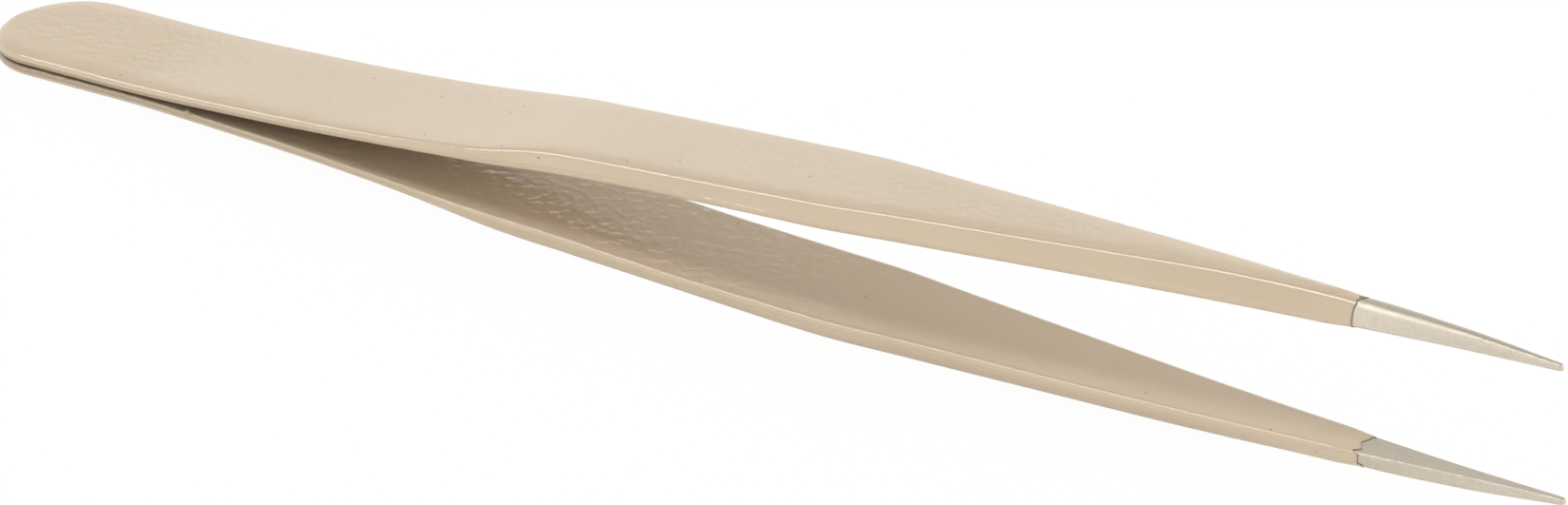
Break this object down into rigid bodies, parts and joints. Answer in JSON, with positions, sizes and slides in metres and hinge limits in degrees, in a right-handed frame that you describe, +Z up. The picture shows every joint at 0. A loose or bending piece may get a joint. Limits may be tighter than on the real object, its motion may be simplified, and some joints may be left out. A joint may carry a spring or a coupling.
{
  "type": "fine-point tweezers",
  "caption": "Fine-point precision tweezers: two sprung steel arms welded at the heel, epoxy coated, with bare ground tips that close when squeezed.",
  "frame": {"origin": "on the surface the tweezers lie on, under the middle of their bounding box", "axes": "+X from the welded heel to the tips, +Y across the arms, +Z up from the surface; the tweezers lie on the lower arm, so their middle plane climbs about 3.3 degrees towards the tips"},
  "size_m": [0.128, 0.0106, 0.0133],
  "materials": {
    "steel": "satin ground stainless steel, finely polished towards the points",
    "epoxy": "beige dipped epoxy, semi-gloss with a faint orange peel"
  },
  "bodies": {
    "heel": {"upper_heel_steel": "steel", "lower_heel_steel": "steel", "upper_heel_coating": "epoxy", "lower_heel_coating": "epoxy", "rear_weld": "steel", "front_weld": "steel"},
    "upper_arm": {"upper_arm_steel": "steel", "upper_arm_coating": "epoxy"},
    "lower_arm": {"lower_arm_steel": "steel", "lower_arm_coating": "epoxy"}
  },
  "joints": [
    {"name": "upper_flex", "type": "hinge", "parent": "heel", "child": "upper_arm", "pos_m": [-0.03415, 0, 0.00365], "axis": [0, 1, 0], "range_deg": [0, 2.57], "stiffness_Nm_per_rad": 0.6},
    {"name": "lower_flex", "type": "hinge", "parent": "heel", "child": "lower_arm", "pos_m": [-0.03402, 0, 0.00139], "axis": [0, -1, 0], "range_deg": [0, 2.57], "stiffness_Nm_per_rad": 0.6}
  ],
  "couplings": [
    {"joint": "lower_flex", "follows": "upper_flex", "ratio": 1}
  ]
}
